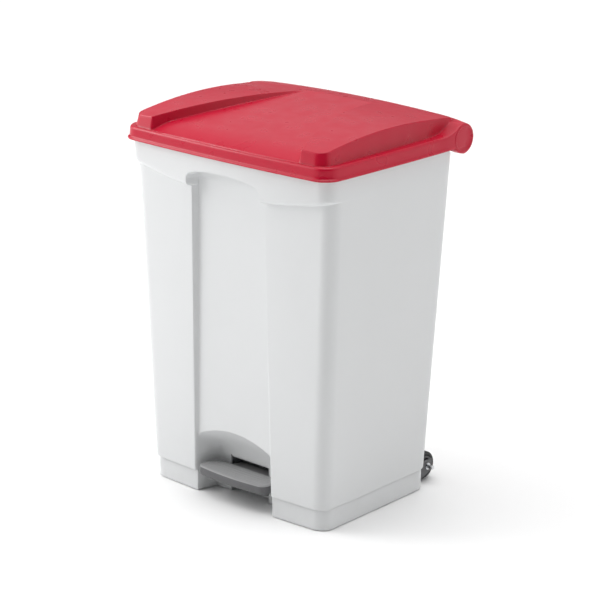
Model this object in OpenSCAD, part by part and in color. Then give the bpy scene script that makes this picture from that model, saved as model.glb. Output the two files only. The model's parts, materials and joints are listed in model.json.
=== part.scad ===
// Pedal bin: a tapered plastic tub on a base ring, with a hinged lid that a foot pedal opens
// through a steel lever and an upright lift rod in a groove of the rear wall.
// Millimetres. X is across, -Y is the front, +Z is up. The origin is on the floor, under the
// middle of the bounding box.

/* [Tub] */
// Half width of the tub at the seam with the base
tub_half_w = 201; // [195:1:204]
// Half width of the tub's mouth at its front corners
mouth_half_w_front = 221; // [215:1:222]
// Half width of the tub's mouth at its rear corners
mouth_half_w_rear = 230; // [224:1:232]
// Height of the seam between the tub and the base
seam_z = 38.6; // [36:0.2:42]
// Height of the tub's rim, hidden inside the lid
rim_z = 618; // [614:1:622]
// Wall thickness of the tub
wall = 3.5; // [3:0.1:4]
// Radius of the tub's upright corners
corner_r = 26; // [22:1:30]
// Height of the tub floor's underside
floor_z = 64; // [62:1:70]

/* [Front] */
// How far the front bulges between its corners
front_bow = 6; // [4:1:8]
// How far the band under the lid stands out from the front panel
band_depth = 10; // [8:1:11]
// Height of the band's lower edge beside the channel
band_z = 548; // [540:1:555]
// Half width of the middle channel at the floor
channel_half_w = 87.5; // [84:0.5:90]
// Half width of the middle channel under the band
channel_half_w_top = 76; // [72:0.5:80]
// Height of the channel arch's crown in the band
channel_crown_z = 583; // [578:1:588]
// Height of the pedal niche's crown
niche_crown_z = 128; // [120:1:135]

/* [Lid] */
// Half width of the lid's lip at the front corners
lip_half_w_front = 231.5; // [227:0.5:233]
// Half width of the lid's lip at the rear
lip_half_w_rear = 241; // [239:0.5:241]
// Height of the lip's lower edge
lip_z = 610; // [608:1:612]
// Height of the lid's highest point
crown_z = 672.7; // [668:0.1:676]
// Shell thickness of the lid
lid_t = 3; // [2.6:0.1:3.4]
// Radius of the rolled rear edge
barrel_r = 28.2; // [27.6:0.1:29]
// How far the lid opens, in degrees
lid_open = 75; // [60:1:78]

/* [Pedal and lift] */
// Half width of the pedal's tread
tread_half_w = 76; // [64:1:78]
// Height of the tread's upper face at rest
tread_z = 53; // [51:0.5:54]
// Radius of the pedal shaft
shaft_r = 5; // [4.5:0.5:5]
// Radius of the lift rod
rod_r = 4; // [3.5:0.5:4]
// Radius of the pins at the two ends of the lift rod
pin_r = 3; // [2.8:0.1:3]

/* [Wheels] */
// Radius of a wheel over its tyre
wheel_r = 24.5; // [23:0.5:24.5]
// Width of a wheel
wheel_w = 20; // [18:1:21]
// Radius of the wheel axle
axle_r = 3.6; // [3.2:0.1:4]

/* [Hidden] */

white = [0.93, 0.94, 0.94];
red = [0.78, 0.05, 0.10];
grey = [0.45, 0.45, 0.46];
dark = [0.20, 0.20, 0.21];
black = [0.05, 0.05, 0.05];
steel = [0.72, 0.73, 0.75];

$fn = 64;
gap = 0.3;            // between faces that only meet
run_fit = 0.06;       // radial clearance of a shaft that turns in its bore
hold_fit = 0.02;      // radial clearance of a shaft that is held in its bore

// Tub: front and rear faces at the seam and at the lip's height
tub_front = -150;
tub_rear = 129;
mouth_front = -156;
mouth_rear = 152;
lean = (mouth_rear - tub_rear) / (lip_z - seam_z);   // run of the rear wall per rise

// Channel and niche
channel_y = -149;
niche_y = -111;
niche_half_w = 64;
niche_roof_z = 72;
slot_half_w = 44;
slot_high_z = 68;
slot_reach = 12;      // depth of the slot on either side of the niche's back
arch_foot_z = 568;
band_rise = 24;       // rise of the band's lower edge towards the corners
band_reach = 226;     // half width over which it rises

// Hinge
hinge_y = 154.2;
hinge_z = 627.4;
hinge_pin_r = 4;
knuckle_r = 23.5;
knuckle_x = 158;
knuckle_w = 36;
knuckle_web_t = 12;
knuckle_foot_z = 585;
roll_clear = 1.6;     // between the tub and the rolled edge
rib_t = 3;
rib_gap = 1;          // between a rib and the knuckle beside it
end_rib_x = lip_half_w_rear - 10;
cap_r = 25;
cap_w = 7;
rod_end_x = lip_half_w_rear - 8;

// Lift: the rod's line stays parallel to the rear wall, in front of the hinge by crank_e
crank_e = 14;
crank_half = lid_open / 2;
crank_drop = crank_e * tan(crank_half);
lift = 2 * crank_drop;
rod_tilt = atan(lean);
pin_low_z = 34;
pin_high_z = hinge_z - crank_drop;
eye_r = 7;
eye_half = 4;
cheek_t = 4;
groove_half_w = 14;
groove_depth = 22;
guide_h = 14;
guide_zs = [190, 460];
guide_play = 0.5;
function rod_y(z) = hinge_y - crank_e - lean * (hinge_z - z);
function rear_y(z) = tub_rear + lean * (z - seam_z);

// Pedal
pivot_y = -10;
pivot_z = pin_low_z;
tread_front = -164;
tread_back = -119;
tread_t = 14;
tread_corner_r = 12;
tread_bulge = 5;
tread_pitch = 6.2;    // from one rib of the tread to the next
tread_rib_w = 2.4;
screw_ys = [tread_back - 16, tread_back + 10];
lever_half_w = 10;
lever_t = 5;
lever_step = 2.5;     // how far the lever's front end lies above the rest
eye_slot = 5.2;       // half width of the fork around the rod's eye
deck_low = 3;
deck_t = 3.5;
deck_top = deck_low + deck_t;
bearing_x = 28;
bearing_w = 12;
bearing_r = 9;
bearing_screw_y = 9;

// Base ring
base_half_w = 198.5;
base_front = -145.5;
base_rear = 126;
base_low = 1;
base_r = 25;
post_x = 150;
post_front = -95;
post_rear = 88;
post_top = 44;
post_r = 8;
post_hole_r = 2.7;
sink_r = 6;
sink_z = 10;
boss_r = 7;
foot_x = 110;
foot_ys = [-92, 98];

// Wheels
wheel_x = 165;
wheel_y = 151.2;
wheel_z = 26.5;
fork_gap = 2;
fork_t = 3;
fork_in = wheel_x - wheel_w / 2 - fork_gap - fork_t;
fork_out = wheel_x + wheel_w / 2 + fork_gap + fork_t;
fork_front = 105;
fork_low_z = 8;
fork_high_z = 38;
fork_screw_zs = [15, 31];
axle_end = 192;

function arc_pts(cx, cy, r, a0, a1, n) =
    [for (i = [0:n]) let (a = a0 + (a1 - a0) * i / n) [cx + r * cos(a), cy + r * sin(a)]];

// A rounded outline, anticlockwise from above: wf and wr are its half widths at the front and
// the rear, and its front and sides bulge by bow and side_bow
function outline(wf, wr, yf, yr, r, bow, side_bow = 0, nc = 6, nf = 12, ns = 6) = concat(
    [for (i = [1:nf - 1]) let (s = -1 + 2 * i / nf) [s * (wf - r), yf - bow * (1 - s * s)]],
    arc_pts(wf - r, yf + r, r, -90, 0, nc),
    [for (i = [1:ns - 1]) let (t = i / ns)
        [wf + (wr - wf) * t + side_bow * 4 * t * (1 - t), yf + r + (yr - yf - 2 * r) * t]],
    arc_pts(wr - r, yr - r, r, 0, 90, nc),
    arc_pts(-wr + r, yr - r, r, 90, 180, nc),
    [for (i = [ns - 1:-1:1]) let (t = i / ns)
        [-wf - (wr - wf) * t - side_bow * 4 * t * (1 - t), yf + r + (yr - yf - 2 * r) * t]],
    arc_pts(-wf + r, yf + r, r, 180, 270, nc));

// The tub's outline at height z, taken in by inset
function tub_outline(z, inset, stretch = 0) =
    let (t = (z - seam_z) / (lip_z - seam_z), mix = function(a, b) a + (b - a) * t)
    outline(mix(tub_half_w, mouth_half_w_front) - inset,
            mix(tub_half_w, mouth_half_w_rear) - inset,
            mix(tub_front, mouth_front) + inset - stretch,
            mix(tub_rear, mouth_rear) - inset,
            corner_r - inset, front_bow + stretch * 0.4);

// The base ring's outline, taken in by inset
function base_outline(inset) =
    outline(base_half_w - inset, base_half_w - inset, base_front + inset, base_rear - inset,
            base_r - inset, front_bow);

// A solid through outlines that have equal counts of points, each given as [z, points]
module loft(sections) {
    n = len(sections[0][1]);
    m = len(sections);
    points = [for (s = sections) for (p = s[1]) [p[0], p[1], s[0]]];
    sides = [for (k = [0:m - 2]) for (i = [0:n - 1]) let (a = k * n + i, b = k * n + (i + 1) % n)
        each [[a, a + n, b + n], [a, b + n, b]]];
    bottom = [[for (i = [0:n - 1]) i]];
    top = [[for (i = [n - 1:-1:0]) (m - 1) * n + i]];
    polyhedron(points, concat(bottom, top, sides), convexity = 6);
}

// A block over a rectangle, from z0 up to the surface height(x, y)
module under_surface(x1, y0, y1, z0, height, nx = 16, ny = 18) {
    row = nx + 1;
    xs = [for (i = [0:nx]) -x1 + 2 * x1 * i / nx];
    ys = [for (j = [0:ny]) y0 + (y1 - y0) * j / ny];
    grid = [for (y = ys) for (x = xs) [x, y, height(x, y)]];
    rim = concat([for (i = [0:nx]) i], [for (j = [1:ny]) j * row + nx],
                 [for (i = [nx - 1:-1:0]) ny * row + i], [for (j = [ny - 1:-1:1]) j * row]);
    base = row * (ny + 1);
    floor_pts = [for (k = rim) [grid[k][0], grid[k][1], z0]];
    top = [for (j = [0:ny - 1]) for (i = [0:nx - 1]) let (a = j * row + i)
        each [[a, a + row, a + row + 1], [a, a + row + 1, a + 1]]];
    count = len(rim);
    sides = [for (k = [0:count - 1]) let (l = (k + 1) % count)
        each [[base + k, rim[k], rim[l]], [base + k, rim[l], base + l]]];
    polyhedron(concat(grid, floor_pts), concat(top, sides, [[for (k = [0:count - 1]) base + k]]),
               convexity = 6);
}

// A shape drawn in X and Z, standing between y0 and y1
module upright(y0, y1) {
    translate([0, y1, 0]) rotate([90, 0, 0]) linear_extrude(y1 - y0) children();
}

module x_cylinder(r, x0, x1, y = 0, z = 0) {
    translate([x0, y, z]) rotate([0, 90, 0]) cylinder(r = r, h = x1 - x0);
}

module both_sides() {
    children();
    mirror([1, 0, 0]) children();
}

// ---- Tub ----

// The channel's outline, seen from the front, grown by grow
module channel_shape(grow = 0) {
    top = [for (i = [-12:12]) let (s = i / 12)
        [-s * (channel_half_w_top + grow + 3),
         arch_foot_z + grow + (channel_crown_z - arch_foot_z) * sqrt(1 - s * s)]];
    polygon(concat([[-channel_half_w - grow, -10], [channel_half_w + grow, -10]], top));
}

// The band's outline, seen from the front: its lower edge rises towards the corners
module band_shape() {
    function edge(x) = band_z + band_rise * pow(abs(x) / band_reach, 2.2);
    xs = [for (i = [-14:14]) i / 14 * 236];
    polygon(concat([for (x = xs) [x, edge(x)]], [[236, rim_z], [-236, rim_z]]));
}

// The pedal niche: an arched mouth that narrows and drops towards its back, grown by grow
module niche(grow = 0) {
    hull() {
        upright(channel_y - 40, channel_y + grow) {
            arch = [for (i = [-8:8]) let (s = i / 8)
                [-s * (channel_half_w - 3.5 + grow), niche_crown_z + grow - 20 * s * s]];
            polygon(concat([[-channel_half_w - grow, -10], [channel_half_w + grow, -10]], arch));
        }
        upright(niche_y - 1, niche_y + grow) {
            roof = [for (i = [-4:4]) let (s = i / 4)
                [-s * (niche_half_w - 4 + grow), niche_roof_z + grow - 5 * s * s]];
            polygon(concat([[-niche_half_w - grow, -10], [niche_half_w + grow, -10]], roof));
        }
    }
}

// The upright groove in the rear wall, grown by grow
module rear_groove(grow = 0) {
    half = groove_half_w + grow;
    function rect(z) = let (y0 = rear_y(z) - groove_depth - grow, y1 = rear_y(z) + 12)
        [[-half, y0], [half, y0], [half, y1], [-half, y1]];
    loft([[-5, rect(-5)], [rim_z + 5, rect(rim_z + 5)]]);
}

module tub_shell() {
    difference() {
        union() {
            loft([[seam_z, tub_outline(seam_z, 0)], [rim_z, tub_outline(rim_z, 0)]]);
            intersection() {
                loft([[band_z - 5, tub_outline(band_z - 5, 0, band_depth)],
                      [rim_z, tub_outline(rim_z, 0, band_depth)]]);
                upright(-200, -110) band_shape();
            }
        }
        difference() {
            loft([[floor_z + wall, tub_outline(floor_z + wall, wall)],
                  [rim_z + 5, tub_outline(rim_z + 5, wall)]]);
            upright(-200, channel_y + wall) channel_shape(wall);
            niche(wall);
            rear_groove(wall);
        }
        difference() {
            loft([[seam_z - 5, tub_outline(seam_z - 5, wall)],
                  [floor_z, tub_outline(floor_z, wall)]]);
            niche(wall);
            for (x = [-post_x, post_x]) for (y = [post_front, post_rear])
                translate([x, y, post_top + gap]) cylinder(r = boss_r, h = 40);
        }
        upright(-220, channel_y) channel_shape();
        niche();
        rear_groove();
        x_cylinder(barrel_r + roll_clear, -260, 260, hinge_y, hinge_z);
        pedal_slot();
    }
}

// The slot in the niche's back that the pedal reaches through; it is open down to the floor
module pedal_slot() {
    upright(niche_y - slot_reach, niche_y + slot_reach)
        translate([-slot_half_w, -1]) square([2 * slot_half_w, slot_high_z + 1]);
}

// A hinge knuckle: an eye for the hinge rod on a web that stands on the rear wall
module knuckle() {
    x0 = knuckle_x - knuckle_w / 2;
    difference() {
        union() {
            x_cylinder(knuckle_r, x0, x0 + knuckle_w, hinge_y, hinge_z);
            translate([x0, hinge_y - knuckle_web_t, knuckle_foot_z])
                cube([knuckle_w, knuckle_web_t, hinge_z - knuckle_foot_z]);
        }
        loft([[560, tub_outline(560, wall)], [600, tub_outline(600, wall)]]);
    }
}

module body_tub() {
    color(white) difference() {
        union() {
            tub_shell();
            both_sides() knuckle();
        }
        x_cylinder(hinge_pin_r + hold_fit, -200, 200, hinge_y, hinge_z);
        for (x = [-post_x, post_x]) for (y = [post_front, post_rear])
            translate([x, y, seam_z - 1]) cylinder(r = 2.5, h = floor_z - seam_z - 1);
    }
}

// ---- Base ----

module base_plinth() {
    color(white) difference() {
        union() {
            difference() {
                loft([[base_low, base_outline(0)], [seam_z, base_outline(0)]]);
                loft([[base_low - 1, base_outline(wall)], [seam_z + 1, base_outline(wall)]]);
            }
            // spigot that locates the tub
            difference() {
                loft([[seam_z - 8, tub_outline(seam_z, wall + gap)],
                      [seam_z + 10, tub_outline(seam_z, wall + gap)]]);
                loft([[seam_z - 9, tub_outline(seam_z, wall + 3)],
                      [seam_z + 11, tub_outline(seam_z, wall + 3)]]);
            }
            loft([[deck_low, base_outline(1)], [deck_top, base_outline(1)]]);
            intersection() {
                loft([[base_low, base_outline(1)], [seam_z - gap, base_outline(1)]]);
                niche(wall);
            }
            for (x = [-post_x, post_x]) for (y = [post_front, post_rear])
                translate([x, y, deck_low]) cylinder(r = post_r, h = post_top - deck_low);
        }
        niche();
        difference() {
            translate([0, 0, seam_z - gap]) linear_extrude(20)
                square([2 * channel_half_w + 2 * wall + 8, 600], center = true);
            translate([-300, niche_y + wall + 6, 0]) cube([600, 300, 100]);
        }
        pedal_slot();
        // windows for the wheel forks, and a notch for the lift rod
        both_sides() translate([fork_in - 1, base_rear - 12, deck_top])
            cube([fork_out - fork_in + 2, 40, 60]);
        translate([-groove_half_w, base_rear - 28, deck_top]) cube([2 * groove_half_w, 40, 60]);
        for (x = [-post_x, post_x]) for (y = [post_front, post_rear]) translate([x, y, 0]) {
            cylinder(r = post_hole_r, h = 60);
            cylinder(r = sink_r, h = sink_z);
        }
        // screw holes of the bearings
        for (x = [-bearing_x, bearing_x]) for (y = [-bearing_screw_y, bearing_screw_y])
            translate([x, pivot_y + y, 0]) cylinder(r = 2.2, h = 10);
    }
}

module base_screws() {
    color(steel) for (x = [-post_x, post_x]) for (y = [post_front, post_rear])
        translate([x, y, 0]) difference() {
            union() {
                translate([0, 0, sink_z - 3.5]) cylinder(r = 5, h = 3.5);
                translate([0, 0, sink_z]) cylinder(r = 2.4, h = 48);
            }
            translate([-3.2, -0.6, 6]) cube([6.4, 1.2, 2]);
            translate([-0.6, -3.2, 6]) cube([1.2, 6.4, 2]);
        }
}

module rubber_feet() {
    color(black) for (x = [-foot_x, foot_x]) for (y = foot_ys)
        translate([x, y, 0]) cylinder(r1 = 11, r2 = 12, h = deck_low);
}

// ---- Lid ----

function lid_top(x, y) = crown_z - 7 * pow(x / 208, 2) - 11.7 * pow(y / 150, 2);
// How far the chute between the wings lies under the crown
function chute_depth(y) =
    let (t = min(1, max(0, (118 - y) / 268))) 17 * t * (2 - t) + (t > 0 ? 0.05 : 0);
function chute_top(x, y) = crown_z - 11.7 * pow(y / 150, 2) - 2 * pow(x / 208, 2)
    - chute_depth(y) - 14 * pow(max(0, (-130 - y) / 50), 2);

function lip_outline(inset, nc = 6) =
    outline(lip_half_w_front - inset, lip_half_w_rear - inset, -172.4 + inset, hinge_y + 8,
            22 - inset, 10, 3, nc = nc);
function wing_outline(inset, lean_in) =
    outline(212 - inset - lean_in, 212 - inset - lean_in, -165 + inset + lean_in, hinge_y + 10, 16, 6);

// The chute's plan: it narrows from the front towards the rear
function chute_plan(grow) =
    let (edge = [[186, -210], [166, -168], [142, -112], [120, -56], [103.5, -6], [89, 44], [79, 85],
                 [71, 124]])
    concat([for (p = edge) [p[0] + grow, p[1]]],
           [for (i = [len(edge) - 1:-1:0]) [-edge[i][0] - grow, edge[i][1]]]);

// The fairing that carries the ledge up into the rolled edge, seen from the side, taken in by t
module fairing_shape(t) {
    // a hollow quarter between the ledge and the roll's top
    polygon(concat([[60, 620 - t], [60, 631 - t], [90, 632 - t]],
                   [for (i = [0:6]) let (s = i / 6)
                       [96 + 52 * s, 633 - t + 22.4 * s * s * (1.7 - 0.7 * s)]],
                   [[hinge_y + 8, hinge_z + barrel_r - 1.4 - t], [hinge_y + 8, 620 - t]]));
}

// The lid's outer form, or with t its inner form, which lies t inside
module lid_form(t = 0) {
    loft([[lip_z - (t > 0 ? 1 : 0), lip_outline(t)], [628 - t, lip_outline(t)],
          [633 - t, lip_outline(t + 9)]]);
    intersection() {
        rotate([90, 0, 90]) linear_extrude(600, center = true) fairing_shape(t);
        loft([[612, lip_outline(t)], [670, lip_outline(t)]]);
    }
    difference() {
        intersection() {
            loft([[625 - t, wing_outline(t, -1)], [680, wing_outline(t, 9)]]);
            under_surface(250, -200, hinge_y + 12, 615, function(x, y) lid_top(x, y) - t);
        }
        difference() {
            loft([[618, chute_plan(t - 3)], [680, chute_plan(t + 5)]]);
            under_surface(260, -215, 150, 610, function(x, y) chute_top(x, y) - t, nx = 8);
        }
    }
}

module lid() {
    notch_w = knuckle_w + 3;
    rib_xs = [10, knuckle_x - knuckle_w / 2 - rib_gap - rib_t, knuckle_x + knuckle_w / 2 + rib_gap,
              end_rib_x];
    color(red) difference() {
        union() {
            difference() {
                lid_form();
                lid_form(lid_t);
                x_cylinder(barrel_r - lid_t, -end_rib_x - 4, end_rib_x + 4, hinge_y, hinge_z);
            }
            difference() {
                x_cylinder(barrel_r, -lip_half_w_rear, lip_half_w_rear, hinge_y, hinge_z);
                x_cylinder(barrel_r - lid_t, -260, 260, hinge_y, hinge_z);
                // open towards the tub's mouth, under the lid
                translate([-225, hinge_y - 40, lip_z - 15]) cube([450, 40, 30]);
            }
            // ribs that carry the lid on its hinge rod and stiffen it above the crank
            both_sides() for (x = rib_xs) hull() {
                x_cylinder(barrel_r - 1, x, x + rib_t, hinge_y, hinge_z);
                translate([x, hinge_y - 50, x == end_rib_x ? 624 : 640])
                    cube([rib_t, 30, x == end_rib_x ? 5 : 8]);
            }
        }
        // notches for the two knuckles and for the lift rod
        both_sides() translate([knuckle_x - notch_w / 2, 0, 0]) sweep_gap(notch_w);
        translate([-12, 0, 0]) sweep_gap(24);
        both_sides() x_cylinder(barrel_r - lid_t, lip_half_w_rear - cap_w, 260, hinge_y, hinge_z);
        x_cylinder(hinge_pin_r + run_fit, -260, 260, hinge_y, hinge_z);
    }
}

// The space that a fixed web or the lift rod needs below the hinge while the lid turns
module sweep_gap(w) {
    translate([0, hinge_y, hinge_z]) rotate([90, 0, 90]) linear_extrude(w)
        polygon(concat([[0, 0]], arc_pts(0, 0, barrel_r + 12, 214, 374, 16)));
}

module hinge_cap() {
    // a round cap that closes the end of the rolled edge
    x_cylinder(cap_r, lip_half_w_rear - cap_w, lip_half_w_rear, hinge_y, hinge_z);
}

module hinge_cap_right() {
    color(red) hinge_cap();
}

module hinge_cap_left() {
    color(red) mirror([1, 0, 0]) hinge_cap();
}

module hinge_rod() {
    color(steel) x_cylinder(hinge_pin_r, -rod_end_x, rod_end_x, hinge_y, hinge_z);
}

// ---- Lift ----

module lift_crank() {
    r = barrel_r - lid_t - gap / 2;
    inner = eye_half + 0.8;
    color(grey) difference() {
        union() {
            both_sides() x_cylinder(r, inner, inner + cheek_t, hinge_y, hinge_z);
            intersection() {
                difference() {
                    x_cylinder(r, -5, 5, hinge_y, hinge_z);
                    x_cylinder(20, -6, 6, hinge_y, hinge_z);
                }
                translate([-5, hinge_y - 12, hinge_z]) cube([10, 30, 30]);
            }
        }
        x_cylinder(hinge_pin_r + run_fit, -20, 20, hinge_y, hinge_z);
        // slot along a radius, in which the upper pin slides
        translate([0, hinge_y, hinge_z]) rotate([180 + crank_half, 0, 0]) for (y = [13:1.5:19])
            x_cylinder(pin_r + 1.1, -20, 20, y, 0);
    }
}

module eye(z) {
    x_cylinder(eye_r, -eye_half, eye_half, rod_y(z), z);
}

module lift_rod() {
    color(steel) difference() {
        union() {
            translate([0, rod_y(pin_low_z), pin_low_z]) rotate([-rod_tilt, 0, 0])
                cylinder(r = rod_r, h = (pin_high_z - pin_low_z) / cos(rod_tilt));
            eye(pin_low_z);
            eye(pin_high_z);
        }
        x_cylinder(pin_r + hold_fit, -20, 20, rod_y(pin_low_z), pin_low_z);
        x_cylinder(pin_r + hold_fit, -20, 20, rod_y(pin_high_z), pin_high_z);
    }
}

module lift_pin_upper() {
    color(steel) x_cylinder(pin_r, -9.6, 9.6, rod_y(pin_high_z), pin_high_z);
}

module lift_pin_lower() {
    color(steel) x_cylinder(pin_r, -13, 13, rod_y(pin_low_z), pin_low_z);
}

module rod_guide(z) {
    difference() {
        translate([-groove_half_w, rear_y(z) - groove_depth + 1, z])
            cube([2 * groove_half_w, groove_depth - 5, guide_h]);
        translate([0, rod_y(z - 10), z - 10]) rotate([-rod_tilt, 0, 0])
            cylinder(r = rod_r + guide_play, h = 40);
    }
}

module rod_guide_upper() {
    color(grey) rod_guide(guide_zs[1]);
}

module rod_guide_lower() {
    color(grey) rod_guide(guide_zs[0]);
}

// ---- Pedal ----

module pedal_tread() {
    r = tread_corner_r;
    corner_x = tread_half_w - r;
    corner_y = tread_front + tread_bulge + r;
    plan = concat(
        [for (i = [0:12]) let (s = -1 + i / 6) [s * corner_x, tread_front + tread_bulge * s * s]],
        arc_pts(corner_x, corner_y, r, -75, 0, 4),
        [[tread_half_w - 10, tread_back - 5], [tread_half_w - 15, tread_back],
         [-tread_half_w + 15, tread_back], [-tread_half_w + 10, tread_back - 5]],
        arc_pts(-corner_x, corner_y, r, 180, 255, 4));
    color(grey) difference() {
        union() {
            translate([0, 0, tread_z - tread_t]) linear_extrude(tread_t - 1.2) polygon(plan);
            // ribs across the tread
            for (y = [tread_front + 10:tread_pitch:tread_back - 3])
                translate([-tread_half_w + 12, y, tread_z - 2])
                    cube([2 * tread_half_w - 24, tread_rib_w, 2]);
            // tongue that reaches through the slot and holds the lever
            translate([-slot_half_w + 4, tread_back - 2, tread_z - tread_t])
                cube([2 * slot_half_w - 8, 32, 10]);
        }
        // pocket for the end of the lever
        translate([-lever_half_w - 0.2, tread_back - 25, pivot_z + lever_t / 2 - 20])
            cube([2 * lever_half_w + 0.4, 80, 20 + 2.6]);
        translate([-tread_half_w + 6, tread_front + 9, tread_z - tread_t - 1]) cube([50, 34, 10]);
        translate([tread_half_w - 56, tread_front + 9, tread_z - tread_t - 1]) cube([50, 34, 10]);
        for (y = screw_ys) translate([0, y, 30]) cylinder(r = 2.5, h = 17);
    }
}

module pedal_lever() {
    top = pivot_z + lever_t / 2;
    color(steel) difference() {
        union() {
            translate([-lever_half_w, tread_back - 24, top - lever_t + lever_step])
                cube([2 * lever_half_w, 44, lever_t]);
            translate([-lever_half_w, tread_back + 18, top - lever_t])
                cube([2 * lever_half_w, rod_y(pin_low_z) + 12 - tread_back - 18, lever_t + 2]);
            x_cylinder(bearing_r, -20, 20, pivot_y, pivot_z);
            x_cylinder(8, -lever_half_w, lever_half_w, rod_y(pin_low_z) + 3, pin_low_z);
        }
        x_cylinder(shaft_r + hold_fit, -30, 30, pivot_y, pivot_z);
        // fork at the rear end, with slots for the lower pin
        translate([-eye_slot, rod_y(pin_low_z) - 12, pin_low_z - 20]) cube([2 * eye_slot, 60, 40]);
        for (y = [-0.6:1.1:4]) x_cylinder(pin_r + 0.7, -20, 20, rod_y(pin_low_z) + y, pin_low_z);
        for (y = screw_ys) translate([0, y, 20]) cylinder(r = 2.6, h = 30);
    }
}

module tread_screws() {
    color(steel) for (y = screw_ys) translate([0, y, 0]) {
        translate([0, 0, pivot_z - 2.5]) cylinder(r = 2.4, h = 14);
        translate([0, 0, pivot_z - 2.5]) cylinder(r = 4.5, h = 2.4);
    }
}

module pedal_shaft() {
    color(steel) x_cylinder(shaft_r, -44, 44, pivot_y, pivot_z);
}

module shaft_clips() {
    x0 = bearing_x + bearing_w / 2 + 0.6;
    color(dark) both_sides() difference() {
        x_cylinder(bearing_r - 0.5, x0, x0 + 1.6, pivot_y, pivot_z);
        x_cylinder(shaft_r + hold_fit, 20, 60, pivot_y, pivot_z);
    }
}

module bearing_block(side) {
    x0 = side * bearing_x - bearing_w / 2;
    difference() {
        union() {
            translate([x0, pivot_y - 15, deck_top]) cube([bearing_w, 30, 10]);
            translate([x0, pivot_y - bearing_r, deck_top])
                cube([bearing_w, 2 * bearing_r, pivot_z - deck_top]);
            x_cylinder(bearing_r, x0, x0 + bearing_w, pivot_y, pivot_z);
        }
        x_cylinder(shaft_r + run_fit, x0 - 1, x0 + bearing_w + 1, pivot_y, pivot_z);
        for (y = [-bearing_screw_y, bearing_screw_y])
            translate([side * bearing_x, pivot_y + y, deck_top - 1]) cylinder(r = 1.9, h = 9);
    }
}

module bearing_block_left() {
    color(grey) bearing_block(-1);
}

module bearing_block_right() {
    color(grey) bearing_block(1);
}

module bearing_screws() {
    color(steel) for (x = [-bearing_x, bearing_x]) for (y = [-bearing_screw_y, bearing_screw_y])
        translate([x, pivot_y + y, 0]) {
            translate([0, 0, deck_low - 1.5]) cylinder(r = 3.5, h = 1.5);
            translate([0, 0, deck_low]) cylinder(r = 1.8, h = 10);
        }
}

// ---- Wheels ----

module wheel_tyre(side) {
    // rounded tread on a ring
    translate([side * wheel_x, wheel_y, wheel_z]) rotate([0, 90, 0]) rotate_extrude($fn = 96)
        difference() {
            hull() for (s = [-1, 1])
                translate([wheel_r - 4, s * (wheel_w / 2 - 4)]) circle(r = 4, $fn = 32);
            translate([0, -wheel_w]) square([17, 2 * wheel_w]);
        }
}

module wheel_tyre_left() {
    color(black) wheel_tyre(-1);
}

module wheel_tyre_right() {
    color(black) wheel_tyre(1);
}

module wheel_hub(side) {
    half = wheel_w / 2 - 0.5;
    color(dark) translate([side * wheel_x, wheel_y, wheel_z]) rotate([0, 90, 0]) difference() {
        union() {
            rotate_extrude() translate([13.5, -half]) square([3.45, 2 * half]);
            rotate_extrude() translate([axle_r + run_fit, -half]) square([3.4, 2 * half]);
            rotate_extrude() translate([axle_r + run_fit, -2]) square([12, 4]);
        }
        for (a = [0:60:300]) rotate(a) translate([10.4, 0, -5]) cylinder(r = 2.2, h = 10);
    }
}

module wheel_hub_left() {
    wheel_hub(-1);
}

module wheel_hub_right() {
    wheel_hub(1);
}

module wheel_axle() {
    color(steel) x_cylinder(axle_r, -axle_end, axle_end, wheel_y, wheel_z);
}

module axle_caps() {
    color(steel) both_sides() difference() {
        x_cylinder(axle_r + 2.6, fork_out, fork_out + 1.4, wheel_y, wheel_z);
        x_cylinder(axle_r + hold_fit, 100, 220, wheel_y, wheel_z);
    }
}

module wheel_bracket(side) {
    plate = [[fork_front + 3, fork_low_z], [wheel_y - 14, fork_low_z], [wheel_y + 12, 18],
             [wheel_y + 12, fork_high_z], [fork_front + 3, fork_high_z]];
    color(dark) mirror([side < 0 ? 1 : 0, 0, 0]) difference() {
        union() {
            for (x = [fork_in, fork_out - fork_t]) translate([x, 0, 0]) rotate([90, 0, 90])
                linear_extrude(fork_t) polygon(plate);
            translate([fork_in, fork_front, fork_low_z])
                cube([fork_out - fork_in, 4, fork_high_z - fork_low_z]);
        }
        x_cylinder(axle_r + hold_fit, 100, 220, wheel_y, wheel_z);
        for (z = fork_screw_zs)
            translate([wheel_x, 100, z]) rotate([-90, 0, 0]) cylinder(r = 2.2, h = 20);
    }
}

module wheel_bracket_left() {
    wheel_bracket(-1);
}

module wheel_bracket_right() {
    wheel_bracket(1);
}

module bracket_screws() {
    color(steel) both_sides() for (z = fork_screw_zs)
        translate([wheel_x, fork_front, z]) rotate([-90, 0, 0]) {
            translate([0, 0, 4]) cylinder(r = 4, h = 2.2);
            translate([0, 0, -6]) cylinder(r = 2.1, h = 10);
        }
}

body_tub();
base_plinth();
lid();
hinge_cap_left();
hinge_cap_right();
hinge_rod();
lift_crank();
lift_rod();
lift_pin_upper();
lift_pin_lower();
rod_guide_upper();
rod_guide_lower();
pedal_tread();
pedal_lever();
pedal_shaft();
tread_screws();
shaft_clips();
bearing_block_left();
bearing_block_right();
bearing_screws();
wheel_tyre_left();
wheel_tyre_right();
wheel_hub_left();
wheel_hub_right();
wheel_axle();
axle_caps();
wheel_bracket_left();
wheel_bracket_right();
bracket_screws();
base_screws();
rubber_feet();
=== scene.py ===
import json
import math

import bmesh
import bpy
import numpy as np
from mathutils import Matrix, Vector
from mathutils.geometry import tessellate_polygon


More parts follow.
